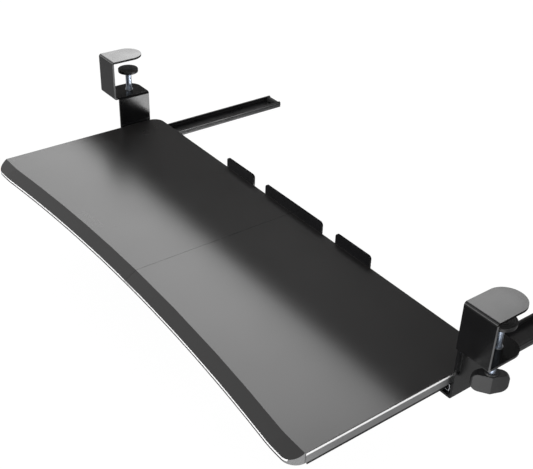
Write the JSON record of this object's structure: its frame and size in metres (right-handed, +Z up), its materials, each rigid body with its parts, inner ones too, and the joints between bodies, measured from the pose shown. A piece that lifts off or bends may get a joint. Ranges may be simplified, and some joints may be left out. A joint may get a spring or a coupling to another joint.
{
  "type": "clamp-on keyboard tray",
  "caption": "Keyboard tray for under a desk: a bevelled black board with upright back stops, on ball-bearing slides hung from screw clamps with wing knobs.",
  "frame": {"origin": "middle of the top front edge of the desk that the clamps hold, halfway between the two clamps and level with the underside of the hook pads", "axes": "+X to the user's right, along the desk's front edge; +Y away from the user, under the desk; +Z up"},
  "size_m": [0.86, 0.5275, 0.1422],
  "materials": {
    "board_laminate": "satin black laminate on fibreboard",
    "edge_band": "satin black edge band",
    "joining_steel": "bright zinc plate",
    "screw_zinc": "bright zinc plate",
    "stop_plastic": "gloss black",
    "clamp_paint": "gloss black powder coat",
    "pad_foam": "matte black foam",
    "nut_steel": "zinc plate",
    "thread_zinc": "blue-white zinc plate",
    "knob_plastic": "satin black",
    "disc_steel": "black plated steel",
    "disc_rubber": "matte black rubber",
    "rail_black": "black electro coat with bright cut ends",
    "bumper_rubber": "matte black rubber",
    "cage_steel": "plain steel, lightly greased",
    "ball_steel": "polished balls"
  },
  "bodies": {
    "clamps": {"clamp_bracket_left": "clamp_paint", "hook_pad_left": "pad_foam", "weld_nut_left": "nut_steel", "fixed_rail_left": "rail_black", "rail_bumper_left": "bumper_rubber", "fixed_rail_screws_left": "screw_zinc", "clamp_bracket_right": "clamp_paint", "hook_pad_right": "pad_foam", "weld_nut_right": "nut_steel", "fixed_rail_right": "rail_black", "rail_bumper_right": "bumper_rubber", "fixed_rail_screws_right": "screw_zinc"},
    "tray": {"board_left": "board_laminate", "board_right": "board_laminate", "edge_band_left": "edge_band", "edge_band_right": "edge_band", "joining_plate_front": "joining_steel", "joining_plate_rear": "joining_steel", "joining_screws": "screw_zinc", "back_stop_left": "stop_plastic", "back_stop_middle": "stop_plastic", "back_stop_right": "stop_plastic", "back_stop_screws": "screw_zinc", "moving_rail_left": "rail_black", "moving_rail_screws_left": "screw_zinc", "moving_rail_right": "rail_black", "moving_rail_screws_right": "screw_zinc"},
    "cage_left": {"ball_retainer_left": "cage_steel", "rail_balls_left": "ball_steel"},
    "pad_left": {"pressure_disc_left": "disc_steel", "disc_pad_left": "disc_rubber"},
    "screw_left": {"clamp_screw_left": "thread_zinc", "wing_knob_left": "knob_plastic"},
    "cage_right": {"ball_retainer_right": "cage_steel", "rail_balls_right": "ball_steel"},
    "pad_right": {"pressure_disc_right": "disc_steel", "disc_pad_right": "disc_rubber"},
    "screw_right": {"clamp_screw_right": "thread_zinc", "wing_knob_right": "knob_plastic"}
  },
  "joints": [
    {"name": "tray_slide", "type": "slide", "parent": "clamps", "child": "tray", "axis": [0, 1, 0], "range_m": [0, 0.216]},
    {"name": "cage_slide_left", "type": "slide", "parent": "clamps", "child": "cage_left", "axis": [0, 1, 0], "range_m": [0, 0.1081]},
    {"name": "pad_lift_left", "type": "slide", "parent": "clamps", "child": "pad_left", "axis": [0, 0, 1], "range_m": [-0.026, 0.013]},
    {"name": "screw_turn_left", "type": "hinge", "parent": "pad_left", "child": "screw_left", "pos_m": [-0.407, 0.037, -0.06], "axis": [0, 0, 1], "range_deg": [-6245, 3125]},
    {"name": "cage_slide_right", "type": "slide", "parent": "clamps", "child": "cage_right", "axis": [0, 1, 0], "range_m": [0, 0.1081]},
    {"name": "pad_lift_right", "type": "slide", "parent": "clamps", "child": "pad_right", "axis": [0, 0, 1], "range_m": [-0.026, 0.013]},
    {"name": "screw_turn_right", "type": "hinge", "parent": "pad_right", "child": "screw_right", "pos_m": [0.407, 0.037, -0.06], "axis": [0, 0, 1], "range_deg": [-6245, 3125]}
  ],
  "couplings": [
    {"joint": "cage_slide_left", "follows": "tray_slide", "ratio": 0.5},
    {"joint": "screw_turn_left", "follows": "pad_lift_left", "rad_per_m": 4188.8},
    {"joint": "cage_slide_right", "follows": "tray_slide", "ratio": 0.5},
    {"joint": "screw_turn_right", "follows": "pad_lift_right", "rad_per_m": 4188.8}
  ]
}
